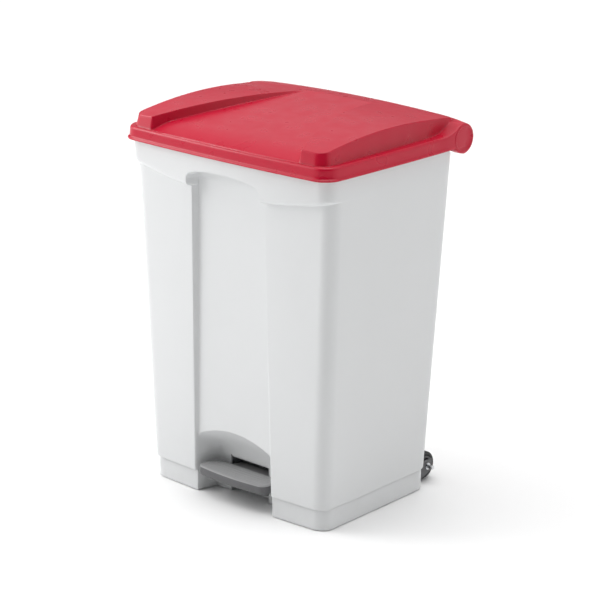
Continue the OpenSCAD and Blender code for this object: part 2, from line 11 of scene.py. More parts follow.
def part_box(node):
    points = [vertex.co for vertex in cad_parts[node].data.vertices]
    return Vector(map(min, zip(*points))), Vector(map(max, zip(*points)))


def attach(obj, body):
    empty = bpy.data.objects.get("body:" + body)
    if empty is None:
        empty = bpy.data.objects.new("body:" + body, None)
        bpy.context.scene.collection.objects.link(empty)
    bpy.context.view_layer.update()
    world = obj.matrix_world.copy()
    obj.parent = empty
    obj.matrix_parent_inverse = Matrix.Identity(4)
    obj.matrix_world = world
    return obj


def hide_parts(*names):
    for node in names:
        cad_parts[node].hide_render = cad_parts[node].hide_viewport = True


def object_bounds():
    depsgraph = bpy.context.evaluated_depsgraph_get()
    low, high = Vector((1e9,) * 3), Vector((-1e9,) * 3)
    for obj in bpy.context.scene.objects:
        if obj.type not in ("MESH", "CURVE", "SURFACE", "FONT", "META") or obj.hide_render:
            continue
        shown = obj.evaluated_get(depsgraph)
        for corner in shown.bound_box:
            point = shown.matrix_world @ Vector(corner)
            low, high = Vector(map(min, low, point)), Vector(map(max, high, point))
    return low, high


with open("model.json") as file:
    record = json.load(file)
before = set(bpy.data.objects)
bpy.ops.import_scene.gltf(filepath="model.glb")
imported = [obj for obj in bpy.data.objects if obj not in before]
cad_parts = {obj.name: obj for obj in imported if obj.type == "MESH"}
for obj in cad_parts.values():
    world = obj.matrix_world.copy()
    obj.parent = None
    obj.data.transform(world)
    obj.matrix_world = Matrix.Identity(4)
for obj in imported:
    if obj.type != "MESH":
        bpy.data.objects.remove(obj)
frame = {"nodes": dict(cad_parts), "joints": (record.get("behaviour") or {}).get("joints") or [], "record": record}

# Shapes are worked out in millimetres, X across, -Y the front, +Z up, and meshes are in metres.
MM = 0.001
CAD_LOW, CAD_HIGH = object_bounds()

joint = {j["name"]: j for j in frame["joints"]}
HINGE_Y, HINGE_Z = (v / MM for v in joint["lid_hinge"]["pos_m"][1:])

# Tub: at the seam it has these sides, and up to the lip they move outwards by the flare or the rake
TUB_HALF_W, TUB_FRONT, TUB_REAR = 201.0, -150.0, 129.0
FRONT_FLARE, REAR_FLARE = 23.5, 29.0
FRONT_RAKE, REAR_RAKE = 6.0, 23.0
SEAM_Z, LIP_Z, RIM_Z = 38.6, 610.0, 618.0
CORNER_R, FRONT_BOW, WALL = 26.0, 6.0, 3.5
TUB_MIDDLE = np.array([0.0, -10.0])
# The band under the lip, the channel down the middle of the front with an arch over it, and the niche,
# where the pedal comes out of its slot
BAND_FOOT, BAND_CLIMB, BAND_HALF_W = 548.0, 24.0, 226.0
BAND_DEPTH, BAND_HEIGHT = 10.0, 9.0
CHANNEL_HALF_W, CHANNEL_TAPER, CHANNEL_Y = 87.5, 8.5, -149.0
ARCH_HALF_W, ARCH_FOOT, ARCH_RISE = 79.0, 568.0, 15.0
NICHE_HALF_W, NICHE_TOP, NICHE_FALL, NICHE_Y = 84.0, 128.0, 20.0, -111.0
SLOT_HALF_W, SLOT_TOP, SLOT_REACH = 44.0, 68.0, 12.0
# The lift rod's groove in the rear wall, and the tub's floor
GROOVE_HALF_W, GROOVE_DEPTH = 14.0, 22.0
FLOOR_Z = 64.0

# Lid: a lip round the front and the sides, two wings on a ledge inside it, and a chute between the wings
LIP_HALF_W, LIP_FRONT, LIP_BOW, LIP_R = 231.5, -177.4, 5.0, 32.0
SIDE_START, SIDE_END = -150.4, 140.2
LEDGE_Z, LID_T = 632.5, 3.0
WING_HALF_W, WING_FRONT, WING_BOW, WING_R = 214.5, -168.0, 6.0, 22.0
WALL_LEAN, CHUTE_DEPTH = 4.6, 17.0
# The top's highest point, and how far it falls towards the front and the sides
CROWN_Z, CROWN_HALF_W, CROWN_LENGTH = 672.7, 208.0, 150.0
FRONT_FALL, CHUTE_FALL, WING_FALL = 11.7, 2.0, 5.0
# The rolled rear edge turns about the hinge. Its ends are thinner and lower
ROLL_R, ROLL_CROWN = 28.2, 6.0
ROLL_TAPER, ROLL_DROP = 2.4, 3.6
# The tub's hinge knuckles. The roll has notches for them and for the lift rod, below an angle in degrees
KNUCKLE_X, KNUCKLE_W, KNUCKLE_R = 158.0, 36.0, 23.5
KNUCKLE_NOTCH, ROD_NOTCH, NOTCH_ANGLE = 19.5, 12.0, 12.0


# ---- Small tools ----

def ramp(u, e=0.18):
    """0 below 0 and 1 above 1, straight between them, with both bends rounded over e."""
    u = np.asarray(u, float)
    low = (u + e) ** 2 / (4 * e)
    high = 1 - (1 + e - u) ** 2 / (4 * e)
    steep = np.where(u < 1 - e, u, high)
    return np.where(u < -e, 0.0, np.where(u > 1 + e, 1.0, np.where(u < e, low, steep)))


def smooth(u):
    """0 to 1 with no slope at either end."""
    u = np.clip(u, 0, 1)
    return u * u * (3 - 2 * u)


def soft_min(a, b, k):
    """The smaller of a and b, with the crossing rounded over k."""
    h = np.clip(0.5 + 0.5 * (b - a) / k, 0, 1)
    return b + (a - b) * h - k * h * (1 - h)


def spread(*stops):
    """Values through stops given as value, count, value, count, value."""
    values = [float(stops[0])]
    for count, end in zip(stops[1::2], stops[2::2]):
        start = values[-1]
        values += [start + (end - start) * i / count for i in range(1, count + 1)]
    return np.array(values)


class Sheet:
    """An open surface gathered from grids of points, in millimetres. Its grids meet edge to edge."""

    def __init__(self):
        self.points = []
        self.faces = []

    def add(self, grid, keep=None):
        rows, cols = grid.shape[:2]
        base = len(self.points)
        self.points += grid.reshape(-1, 3).tolist()
        for r in range(rows - 1):
            for c in range(cols - 1):
                if keep is None or keep[r, c]:
                    a = base + r * cols + c
                    self.faces.append([a, a + 1, a + cols + 1, a + cols])
        return self

    def mirror(self):
        """Adds the other half, across X = 0."""
        count = len(self.points)
        self.points += [[-x, y, z] for x, y, z in self.points]
        self.faces += [[count + i for i in face[::-1]] for face in self.faces]
        return self

    def arrays(self):
        """The welded points and faces."""
        bm = bmesh.new()
        verts = [bm.verts.new(p) for p in self.points]
        for face in self.faces:
            bm.faces.new([verts[i] for i in face])
        bmesh.ops.remove_doubles(bm, verts=bm.verts, dist=0.02)
        loose = [v for v in bm.verts if not v.link_faces]
        bmesh.ops.delete(bm, geom=loose, context="VERTS")
        bm.verts.index_update()
        points = np.array([v.co[:] for v in bm.verts])
        faces = [[v.index for v in f.verts] for f in bm.faces]
        bm.free()
        return points, faces


def face_middles(grid):
    """X, Y and Z of the middle of every face in a grid of points."""
    middle = (grid[:-1, :-1] + grid[1:, :-1] + grid[1:, 1:] + grid[:-1, 1:]) / 4
    return middle[..., 0], middle[..., 1], middle[..., 2]


def vertex_normals(points, faces):
    normals = np.zeros_like(points)
    for size in (3, 4):
        ring = np.array([f for f in faces if len(f) == size])
        if len(ring):
            last = ring[:, 3] if size == 4 else ring[:, 2]
            across = points[ring[:, 2]] - points[ring[:, 0]]
            other = points[last] - points[ring[:, 1]]
            face_normal = np.cross(across, other)
            for corner in range(size):
                np.add.at(normals, ring[:, corner], face_normal)
    return normals / np.maximum(np.linalg.norm(normals, axis=1, keepdims=True), 1e-12)


def thicken(sheet, thickness, passes=6):
    """A closed wall: the sheet, a copy of it thickness further in, and a rim around every open edge."""
    points, faces = sheet.arrays()
    edges = {}
    for face in faces:
        for a, b in zip(face, face[1:] + face[:1]):
            edges.setdefault((min(a, b), max(a, b)), []).append((a, b))
    rim = [ways[0] for ways in edges.values() if len(ways) == 1]
    inner = points - thickness * vertex_normals(points, faces)
    pairs = np.array(list(edges))
    fixed = np.zeros(len(points), bool)
    fixed[np.array(rim).ravel()] = True
    count = np.bincount(pairs.ravel(), minlength=len(points))[:, None]
    for _ in range(passes):
        total = np.zeros_like(inner)
        np.add.at(total, pairs[:, 0], inner[pairs[:, 1]])
        np.add.at(total, pairs[:, 1], inner[pairs[:, 0]])
        mean = total / count
        inner = np.where(fixed[:, None], inner, 0.5 * inner + 0.5 * mean)
    n = len(points)
    closed = faces + [[i + n for i in face[::-1]] for face in faces]
    closed += [[b, a, a + n, b + n] for a, b in rim]
    return np.vstack([points, inner]), closed


def lathe(profile, x_sign, y, z, steps=96):
    """A closed solid turned about an axis along X.

    The profile is a list of (radius, x) that starts and ends on the axis.
    """
    angles = [2 * math.pi * i / steps for i in range(steps)]
    points = [[x_sign * profile[0][1], y, z]]
    for radius, x in profile[1:-1]:
        points += [[x_sign * x, y + radius * math.cos(a), z + radius * math.sin(a)] for a in angles]
    points.append([x_sign * profile[-1][1], y, z])
    faces = []
    last_ring = 1 + (len(profile) - 3) * steps
    for i in range(steps):
        j = (i + 1) % steps
        faces.append([0, 1 + j, 1 + i])
        for ring in range(len(profile) - 3):
            a = 1 + ring * steps
            faces.append([a + i, a + j, a + steps + j, a + steps + i])
        faces.append([last_ring + i, last_ring + j, len(points) - 1])
    if x_sign < 0:
        faces = [f[::-1] for f in faces]
    return np.array(points), faces


def slab(outline, low, high):
    """A closed plate over an outline of (x, y), anticlockwise from above."""
    n = len(outline)
    points = [[x, y, low] for x, y in outline] + [[x, y, high] for x, y in outline]
    faces = []
    for a, b, c in tessellate_polygon([[Vector((x, y, 0)) for x, y in outline]]):
        ax, bx, cx = (Vector((*outline[i], 0)) for i in (a, b, c))
        if (bx - ax).cross(cx - ax).z < 0:
            b, c = c, b
        faces += [[a + n, b + n, c + n], [c, b, a]]
    faces += [[i, (i + 1) % n, (i + 1) % n + n, i + n] for i in range(n)]
    return np.array(points), faces


def upright_plate(profile, near, far, side):
    """A plate across X between near and far, on one side. Its profile is a list of (y, z)."""
    points, faces = slab(profile, near, far)
    turned = np.stack([side * points[:, 2], points[:, 0], points[:, 1]], 1)
    return turned, [f[::-1] for f in faces] if side < 0 else faces


SIDES = ((-1, "left"), (1, "right"))


def piece(name, shape, body, material, replaces=(), bevel=0.0, sharp=38.0):
    """A finished mesh object from points in millimetres and faces."""
    points, faces = shape
    mesh = bpy.data.meshes.new(name)
    mesh.from_pydata((np.asarray(points) * MM).tolist(), [], faces)
    mesh.validate()
    obj = bpy.data.objects.new(name, mesh)
    bpy.context.scene.collection.objects.link(obj)
    bm = bmesh.new()
    bm.from_mesh(mesh)
    bmesh.ops.recalc_face_normals(bm, faces=bm.faces)
    if bevel:
        hard = [e for e in bm.edges if e.is_manifold and e.calc_face_angle() > math.radians(30)]
        bmesh.ops.bevel(bm, geom=hard, offset=bevel * MM, segments=3, profile=0.5, affect="EDGES",
                        clamp_overlap=True)
    bm.to_mesh(mesh)
    bm.free()
    mesh.shade_smooth()
    mesh.set_sharp_from_angle(angle=math.radians(sharp))
    mesh.materials.append(material)
    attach(obj, body)
    if replaces:
        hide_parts(*replaces)
    return obj


# ---- Materials ----

class Nodes:
    """A material's node tree with the few calls that the materials below need."""

    def __init__(self, name):
        self.material = bpy.data.materials.new(name)
        self.material.use_nodes = True
        self.tree = self.material.node_tree
        self.shader = self.tree.nodes["Principled BSDF"]
        self.place = self.tree.nodes.new("ShaderNodeTexCoord").outputs["Object"]

    def link(self, source, target):
        self.tree.links.new(source, target)

    def scaled(self, scale):
        node = self.tree.nodes.new("ShaderNodeMapping")
        node.inputs["Scale"].default_value = scale
        self.link(self.place, node.inputs["Vector"])
        return node.outputs["Vector"]

    def noise(self, scale, detail=3.0, rough=0.5, vector=None):
        node = self.tree.nodes.new("ShaderNodeTexNoise")
        node.inputs["Scale"].default_value = scale
        node.inputs["Detail"].default_value = detail
        node.inputs["Roughness"].default_value = rough
        self.link(vector or self.place, node.inputs["Vector"])
        return node.outputs["Fac"]

    def between(self, value, low, high, to_low, to_high):
        node = self.tree.nodes.new("ShaderNodeMapRange")
        node.inputs["From Min"].default_value = low
        node.inputs["From Max"].default_value = high
        node.inputs["To Min"].default_value = to_low
        node.inputs["To Max"].default_value = to_high
        self.link(value, node.inputs["Value"])
        return node.outputs["Result"]

    def math(self, kind, a, b):
        node = self.tree.nodes.new("ShaderNodeMath")
        node.operation = kind
        for socket, value in zip(node.inputs, (a, b)):
            if isinstance(value, float):
                socket.default_value = value
            else:
                self.link(value, socket)
        return node.outputs["Value"]

    def mix(self, factor, a, b):
        node = self.tree.nodes.new("ShaderNodeMix")
        node.data_type = "RGBA"
        self.link(factor, node.inputs["Factor"])
        for socket, value in ((node.inputs["A"], a), (node.inputs["B"], b)):
            if isinstance(value, tuple):
                socket.default_value = (*value, 1.0)
            else:
                self.link(value, socket)
        return node.outputs["Result"]

    def height(self):
        node = self.tree.nodes.new("ShaderNodeSeparateXYZ")
        self.link(self.place, node.inputs["Vector"])
        return node.outputs["Z"]

    def bump(self, *layers):
        """Bumps laid over each other, each given as (height, strength, depth in metres)."""
        normal = None
        for value, strength, depth in layers:
            node = self.tree.nodes.new("ShaderNodeBump")
            node.inputs["Strength"].default_value = strength
            node.inputs["Distance"].default_value = depth
            self.link(value, node.inputs["Height"])
            if normal:
                self.link(normal, node.inputs["Normal"])
            normal = node.outputs["Normal"]
        self.link(normal, self.shader.inputs["Normal"])


def shade(colour, share):
    return tuple(c * share for c in colour)


def greyed(colour, share, grey):
    """The colour with a share of a plain grey in it."""
    return tuple((1 - share) * c + share * grey for c in colour)


def plastic(name, colour, rough, grain=1800.0, grain_depth=0.00006, scuff=0.25, tint=0.94, specular=0.5,
            dust=0.15, painted_highlight_heights=None):
    """Moulded plastic: fine grain, faint flow marks, uneven gloss, rubbed patches, and dust near the floor.

    Its last argument gives the heights in metres between which the colour turns paler grey: a painted highlight on
    the upper faces of raised ribs.
    """
    n = Nodes(name)
    flow = n.noise(7.0, 3.0, 0.5, n.scaled((1.0, 1.0, 0.45)))
    patch = n.between(n.noise(26.0, 5.0, 0.62), 0.56, 0.74, 0.0, 1.0)
    streak = n.between(n.noise(1.0, 4.0, 0.6, n.scaled((420.0, 420.0, 16.0))), 0.60, 0.72, 0.0, 1.0)
    worn = n.math("MULTIPLY", n.math("MULTIPLY", patch, streak), scuff)
    low = n.between(n.height(), 0.0, 0.09, 1.0, 0.0)
    dusty = n.math("MULTIPLY", low, n.between(n.noise(55.0, 6.0, 0.65), 0.5, 0.8, 0.0, dust))
    body = n.mix(n.between(flow, 0.3, 0.7, 0.0, 1.0), shade(colour, tint), colour)
    body = n.mix(worn, body, greyed(colour, 0.5, 0.55))
    # painted highlight: the colour turns paler grey towards the upper faces of raised ribs, where light catches
    # them
    if painted_highlight_heights:
        body = n.mix(n.between(n.height(), *painted_highlight_heights, 0.0, 0.6), body, greyed(colour, 0.55, 0.66))
    body = n.mix(n.math("MULTIPLY", dusty, 0.35), body, (0.34, 0.32, 0.29))
    n.link(body, n.shader.inputs["Base Color"])
    gloss = n.between(n.noise(34.0, 1.0, 0.5), 0.3, 0.7, rough - 0.05, rough + 0.06)
    gloss = n.math("ADD", gloss, n.math("MULTIPLY", worn, 0.4))
    n.link(n.math("ADD", gloss, n.math("MULTIPLY", dusty, 0.2)), n.shader.inputs["Roughness"])
    n.shader.inputs["Specular IOR Level"].default_value = specular
    fine = n.noise(grain, 2.0, 0.55)
    wavy = n.noise(16.0, 2.0, 0.45)
    n.bump((wavy, 0.06, 0.0012), (fine, 0.22, grain_depth), (worn, 0.3, 0.00003))
    return n.material


def rubber(name):
    """Matt black rubber with fine pits and grey dust where it rolls."""
    n = Nodes(name)
    dust = n.between(n.noise(110.0, 6.0, 0.65), 0.45, 0.72, 0.0, 0.75)
    n.link(n.mix(dust, (0.012, 0.012, 0.013), (0.075, 0.072, 0.068)), n.shader.inputs["Base Color"])
    n.link(n.between(dust, 0.0, 1.0, 0.52, 0.85), n.shader.inputs["Roughness"])
    n.bump((n.noise(160.0, 3.0, 0.5), 0.2, 0.0004), (n.noise(1500.0, 3.0, 0.6), 0.3, 0.0001))
    return n.material


def zinc_steel(name):
    """Zinc plated steel: faint drawn lines, cloudy gloss and a few dull specks."""
    n = Nodes(name)
    lines = n.noise(1.0, 3.0, 0.6, n.scaled((90.0, 1600.0, 1600.0)))
    cloud = n.noise(60.0, 4.0, 0.6)
    speck = n.between(n.noise(420.0, 2.0, 0.5), 0.66, 0.74, 0.0, 1.0)
    body = n.mix(n.between(cloud, 0.3, 0.7, 0.0, 1.0), (0.55, 0.56, 0.58), (0.74, 0.75, 0.77))
    n.link(n.mix(n.math("MULTIPLY", speck, 0.5), body, (0.36, 0.35, 0.33)), n.shader.inputs["Base Color"])
    n.shader.inputs["Metallic"].default_value = 1.0
    gloss = n.between(cloud, 0.3, 0.7, 0.2, 0.34)
    n.link(n.math("ADD", gloss, n.math("MULTIPLY", speck, 0.25)), n.shader.inputs["Roughness"])
    n.bump((lines, 0.12, 0.00008), (speck, 0.2, 0.00004))
    return n.material


MATERIALS = {
    "white_plastic": plastic("white plastic", (0.72, 0.73, 0.735), 0.40, scuff=0.04, tint=0.985),
    "red_plastic": plastic("red plastic", (0.53, 0.001, 0.027), 0.31, grain_depth=0.000004, scuff=0.0,
                           tint=0.96, specular=0.4, dust=0.0),
    "grey_plastic": plastic("grey plastic", (0.215, 0.215, 0.22), 0.46, grain=1300.0, scuff=0.4, tint=0.88),
    "dark_plastic": plastic("dark plastic", (0.12, 0.12, 0.125), 0.42, grain=1500.0, scuff=0.35, tint=0.8),
    "black_rubber": rubber("black rubber"),
    "bright_steel": zinc_steel("zinc steel"),
}


def finish_cad_nodes():
    """Gives every CAD node the detailed material of its slot."""
    for part in frame["record"]["subparts"]:
        mesh = frame["nodes"][part["node"]].data
        material = MATERIALS[part["material_slot"]]
        if not mesh.materials:
            mesh.materials.append(material)
        for index in range(len(mesh.materials)):
            mesh.materials[index] = material


# ---- Tub ----

def rise(z):
    """0 at the seam and 1 at the lip."""
    return (z - SEAM_Z) / (LIP_Z - SEAM_Z)


def tub_half_w(z, flare):
    return TUB_HALF_W + flare * rise(z)


def tub_front_y(z):
    return TUB_FRONT - FRONT_RAKE * rise(z)


def tub_rear_y(z):
    return TUB_REAR + REAR_RAKE * rise(z)


def channel_half_w(z):
    return CHANNEL_HALF_W - CHANNEL_TAPER * np.clip((z + 10) / 566, 0, 1.1)


def band_edge(x):
    """Z of the band's lower edge, which climbs towards the corners."""
    return BAND_FOOT + BAND_CLIMB * np.minimum(np.abs(x) / BAND_HALF_W, 1) ** 2.2


def band_at(x, z):
    """How far the band stands out: its lower edge is a quarter of an ellipse."""
    above = np.clip((z - band_edge(x)) / BAND_HEIGHT, 0, 1)
    return BAND_DEPTH * np.sqrt(1 - (1 - above) ** 2)


def arch_edge(x):
    """Z of the arch over the channel."""
    s = np.clip(np.abs(x) / ARCH_HALF_W, 0, 1)
    return ARCH_FOOT + ARCH_RISE * np.sqrt(1 - s * s)


def niche_edge(x):
    """Z of the curved edge over the pedal niche."""
    s = np.minimum(np.abs(x) / NICHE_HALF_W, 1)
    return NICHE_TOP - NICHE_FALL * s * s


def niche_depth(x, z):
    """How far back the niche reaches, from 0 at its mouth to 1 at its back."""
    side = (channel_half_w(z) - np.abs(x)) / (23.5 - 10 * smooth((88 - np.asarray(z)) / 50))
    s = np.minimum(np.abs(x) / NICHE_HALF_W, 1)
    roof = (niche_edge(x) - z) / (56 - 15 * s * s)
    return np.sin(np.clip(soft_min(side, roof, 0.45), 0, 1) * math.pi / 2)


def front_face(x, z, plain_y, band):
    """Y of the front face: plain_y with the band, the channel and the pedal niche in it."""
    face = plain_y - band
    in_channel = ramp((channel_half_w(z) - np.abs(x)) / 3.6 + 0.5, 0.3)
    under_arch = ramp((arch_edge(x) - z) / 3.4 + 0.5, 0.3)
    deep = CHANNEL_Y + (NICHE_Y - CHANNEL_Y) * niche_depth(x, z)
    return face + (deep - face) * in_channel * under_arch


def rim_height(y):
    """The rim dips where the lid's rolled edge turns."""
    reach = ROLL_R + 2.4
    inside = np.maximum(reach ** 2 - (y - HINGE_Y) ** 2, 0)
    return np.where(np.abs(y - HINGE_Y) < reach, np.minimum(RIM_Z, HINGE_Z - np.sqrt(inside)), RIM_Z)


CHANNEL_NEAR = (-7, -4.2, -2.6, -1.6, -0.7, 0.0, 0.7, 1.6, 2.6, 4.2, 7)


def front_columns(z, arc_start):
    """X of the front columns in one row: they follow the slot's edge and the channel's edge."""
    edge = channel_half_w(z)
    near = [edge + d for d in CHANNEL_NEAR]
    inner = spread(0, 7, SLOT_HALF_W, 9, near[0])
    outer = spread(near[-1], 16, arc_start)
    return np.concatenate([inner[:-1], near, outer[1:]])


SEAM_NEAR = (0.3, 0.55, 1.4, 3.2)
NICHE_NEAR = (-7, -4, -2.2, -1.2, -0.5, 0, 0.5, 1.2, 2.2, 4, 7)
BAND_NEAR = (-8, -4, -2, -0.8, -0.05, 0.05, 0.35, 1.0, 2.0, 3.4, 5.2, 7.2, 9.2)
ARCH_NEAR = (-6, -4, -2.4, -1.4, -0.6, 0, 0.6, 1.4, 2.4, 4, 6)


def tub_row_heights(x, top):
    """Z of every row of one column of the tub: rows crowd at the niche, at the band and at the arch."""
    niche, band = float(niche_edge(min(x, NICHE_HALF_W))), float(band_edge(max(x, ARCH_HALF_W)))
    arch = float(arch_edge(x)) + band - float(band_edge(ARCH_HALF_W))
    low = [SEAM_Z + d for d in SEAM_NEAR]
    return np.concatenate([
        low[:-1],
        spread(low[-1], 5, SLOT_TOP, 6, niche + NICHE_NEAR[0])[:-1],
        niche + np.array(NICHE_NEAR),
        spread(niche + NICHE_NEAR[-1], 46, band + BAND_NEAR[0])[1:-1],
        band + np.array(BAND_NEAR),
        arch + np.array(ARCH_NEAR),
        spread(arch + ARCH_NEAR[-1], 7, top)[1:],
    ])


def leaning_rows(x, y, z):
    """Row heights of a column that leans: each row takes the height that belongs to where it is."""
    foot, head = (tub_row_heights(float(abs(x[i])), float(rim_height(y[-1]))) for i in (0, -1))
    share = np.clip((z - SEAM_Z) / (RIM_Z - SEAM_Z), 0, 1)
    return foot * (1 - share) + head * share


def tub_column(place):
    """The points of one column, from the seam to the rim. place gives X and Y at heights z."""
    x, y = place(np.array([LIP_Z]))
    z = tub_row_heights(float(abs(x[0])), float(rim_height(y[0])))
    for _ in range(2):
        x, y = place(z)
        z = leaning_rows(x, y, z)
    x, y = place(z)
    return np.stack([x, y, z], 1)


def front_column(index):
    def place(z):
        start = tub_half_w(z, FRONT_FLARE) - CORNER_R
        x = np.array([front_columns(level, end)[index] for level, end in zip(z, start)])
        bulge = 1 - (x / start) ** 2
        plain = tub_front_y(z) - FRONT_BOW * bulge
        return x, front_face(x, z, plain, band_at(x, z) * (1 + 0.4 * bulge))
    return place


def front_corner_column(angle):
    def place(z):
        x = tub_half_w(z, FRONT_FLARE) - CORNER_R + CORNER_R * math.cos(angle)
        y = tub_front_y(z) + CORNER_R + CORNER_R * math.sin(angle)
        return x, y - band_at(x, z)
    return place


def side_column(share):
    def place(z):
        front, rear = tub_front_y(z) + CORNER_R, tub_rear_y(z) - CORNER_R
        narrow, wide = tub_half_w(z, FRONT_FLARE), tub_half_w(z, REAR_FLARE)
        x = narrow + (wide - narrow) * share
        y = front + (rear - front) * share
        return x, y - band_at(x, z) * (1 - share)
    return place


def rear_corner_column(angle):
    def place(z):
        x = tub_half_w(z, REAR_FLARE) - CORNER_R + CORNER_R * math.cos(angle)
        y = tub_rear_y(z) - CORNER_R + CORNER_R * math.sin(angle)
        return x, y
    return place


GROOVE_NEAR = (2.4, 1.7, 1.2, 0.7, 0.2, -0.6)
REAR_PLAIN, REAR_EDGE, REAR_GROOVE = 16, len(GROOVE_NEAR) - 1, 5


def rear_column(step):
    """From the corner inwards: the plain wall, the edge of the rod's groove, and the groove's back."""
    def place(z):
        start = tub_half_w(z, REAR_FLARE) - CORNER_R
        near = [GROOVE_HALF_W + d for d in GROOVE_NEAR]
        past_edge = step + 1 - REAR_PLAIN - REAR_EDGE
        if step < REAR_PLAIN:
            x = start + (near[0] - start) * (step + 1) / REAR_PLAIN
        elif past_edge < 1:
            x = np.full_like(z, near[step + 1 - REAR_PLAIN])
        else:
            x = np.full_like(z, near[-1] * (1 - past_edge / REAR_GROOVE))
        cut = ramp((GROOVE_HALF_W + 1.7 - x) / 1.5, 0.3)
        return x, tub_rear_y(z) - GROOVE_DEPTH * cut
    return place


def drawn_in(loop, inset):
    """A loop of (x, y) round the tub, moved towards the tub's middle."""
    away = loop - TUB_MIDDLE
    return loop - inset * away / np.linalg.norm(away, axis=1, keepdims=True)


# How far the lowest rows are drawn in, so that the foot of the wall is rounded over the seam
TUB_FOOT_INSET = (1.5, 0.6, 0.12)


def tub_half():
    """The right half of the tub's outer surface, as rows of points from the seam to the rim."""
    arc = np.radians(np.linspace(-90, 0, 13))
    start = TUB_HALF_W - CORNER_R
    places = [front_column(i) for i in range(len(front_columns(0.0, start)))]
    places += [front_corner_column(a) for a in arc[1:]]
    places += [side_column(s) for s in np.linspace(0, 1, 25)[1:-1]]
    places += [rear_corner_column(a) for a in arc + math.pi / 2]
    places += [rear_column(step) for step in range(REAR_PLAIN + REAR_EDGE + REAR_GROOVE)]
    grid = np.stack([tub_column(place) for place in places], 1)
    for row, inset in enumerate(TUB_FOOT_INSET):
        grid[row, :, :2] = drawn_in(grid[row, :, :2], inset)
    return grid


def make_tub():
    grid = tub_half()
    x, y, z = face_middles(grid)
    slot = (x < SLOT_HALF_W) & (z < SLOT_TOP) & (y < 0)
    lever_gap = (x < GROOVE_HALF_W - 0.6) & (z < FLOOR_Z - 2) & (y > 0)
    sheet = Sheet().add(grid, ~(slot | lever_gap)).mirror()
    piece("tub_shell", thicken(sheet, WALL), "housing", MATERIALS["white_plastic"],
          ["body_tub"])
    # the floor of the tub, let into the middle of its wall
    beside_channel = 40
    level = np.abs(grid[:, beside_channel, 2] - (FLOOR_Z + WALL / 2)).argmin()
    half = [tuple(p) for p in drawn_in(grid[level, :, :2], 2.0)]
    outline = half + [(-x, y) for x, y in half[::-1] if x > 0.01]
    piece("tub_floor", slab(outline, FLOOR_Z, FLOOR_Z + WALL), "housing", MATERIALS["white_plastic"])


def make_knuckles():
    """The two hinge eyes on the tub's rear wall, each on a web."""
    turn = [math.radians(a) for a in range(-60, 241, 6)]
    eye = [(HINGE_Y + KNUCKLE_R * math.cos(a), HINGE_Z + KNUCKLE_R * math.sin(a)) for a in turn]
    foot = [(HINGE_Y - 7.0, 585.0), (HINGE_Y - 0.5, 585.0)]
    profile = eye + foot
    for side, name in SIDES:
        plate = upright_plate(profile, KNUCKLE_X - KNUCKLE_W / 2, KNUCKLE_X + KNUCKLE_W / 2, side)
        piece("hinge_knuckle_" + name, plate, "housing", MATERIALS["white_plastic"],
              bevel=1.0)


# ---- Base ----

BASE_HALF_W, BASE_FRONT, BASE_REAR, BASE_R = 198.5, -145.5, 126.0, 25.0
# The forks' windows in the rear wall, from and to in X, and the deck, from and to in Z
WINDOW = (149.0, 181.0)
FORK_OUT = 172.0
DECK = (3.0, 6.5)
# Holes in the deck under the screw posts
POST_X, POST_YS, POST_HOLE_R = 150.0, (-95.0, 88.0), 6.0


def base_row(z, inset):
    """The right half of the base's outline at one height."""
    start = BASE_HALF_W - BASE_R
    x = front_columns(z, start)
    plain = BASE_FRONT - FRONT_BOW * (1 - (x / start) ** 2)
    y = front_face(x, np.full_like(x, z), plain, 0.0)
    points = [np.stack([x, y], 1)]
    arc = np.radians(np.linspace(-90, 0, 13))[1:]
    points.append(np.stack([start + BASE_R * np.cos(arc), BASE_FRONT + BASE_R + BASE_R * np.sin(arc)], 1))
    side = np.linspace(BASE_FRONT + BASE_R, BASE_REAR - BASE_R, 15)[1:-1]
    points.append(np.stack([np.full_like(side, BASE_HALF_W), side], 1))
    arc = np.radians(np.linspace(0, 90, 13))[:-1]
    points.append(np.stack([start + BASE_R * np.cos(arc), BASE_REAR - BASE_R + BASE_R * np.sin(arc)], 1))
    rear = np.concatenate([[start], spread(WINDOW[1] - 10, 4, WINDOW[0], 10, GROOVE_HALF_W, 3, 0.0)])
    points.append(np.stack([rear, np.full_like(rear, BASE_REAR)], 1))
    loop = np.concatenate(points)
    along = np.gradient(loop, axis=0)
    inward = np.stack([-along[:, 1], along[:, 0]], 1)
    inward[0], inward[-1] = (0, 1), (0, -1)
    loop += inset * inward / np.linalg.norm(inward, axis=1, keepdims=True)
    loop[0, 0] = loop[-1, 0] = 0.0
    return np.column_stack([loop, np.full(len(loop), z)])


def make_base():
    top = SEAM_Z - 0.3
    levels = [(1.0, 1.0), (1.35, 0.3), (2.2, 0.0), (DECK[1], 0.0)]
    levels += [(z, 0.0) for z in spread(DECK[1], 9, top - 1.4)[1:]]
    levels += [(top - 0.4, 0.25), (top, 0.9), (top, 3.0), (top, 7.0)]
    grid = np.array([base_row(z, inset) for z, inset in levels])
    x, y, z = face_middles(grid)
    slot = (x < SLOT_HALF_W) & (y < 0)
    rear_wall = (z > DECK[1]) & (y > 100)
    window = (x > WINDOW[0]) & (x < FORK_OUT) & rear_wall
    rod_gap = (x < GROOVE_HALF_W) & rear_wall
    sheet = Sheet().add(grid, ~(slot | window | rod_gap)).mirror()
    piece("base_ring", thicken(sheet, 2.6, 2), "housing", MATERIALS["white_plastic"],
          ["base_plinth"])
    row = [tuple(p) for p in base_row(DECK[0], 1.5)[:, :2]]
    notch_y = NICHE_Y + SLOT_REACH
    half = [(0.0, notch_y), (SLOT_HALF_W, notch_y)]
    half += [p for p in row if p[0] >= SLOT_HALF_W - 0.01 or p[1] > 0]
    outline = half + [(-px, py) for px, py in half[::-1] if px > 0.01]
    deck = piece("base_deck", slab(outline, *DECK), "housing", MATERIALS["white_plastic"])
    drill(deck, [(side * POST_X, y, POST_HOLE_R) for side in (-1, 1) for y in POST_YS])


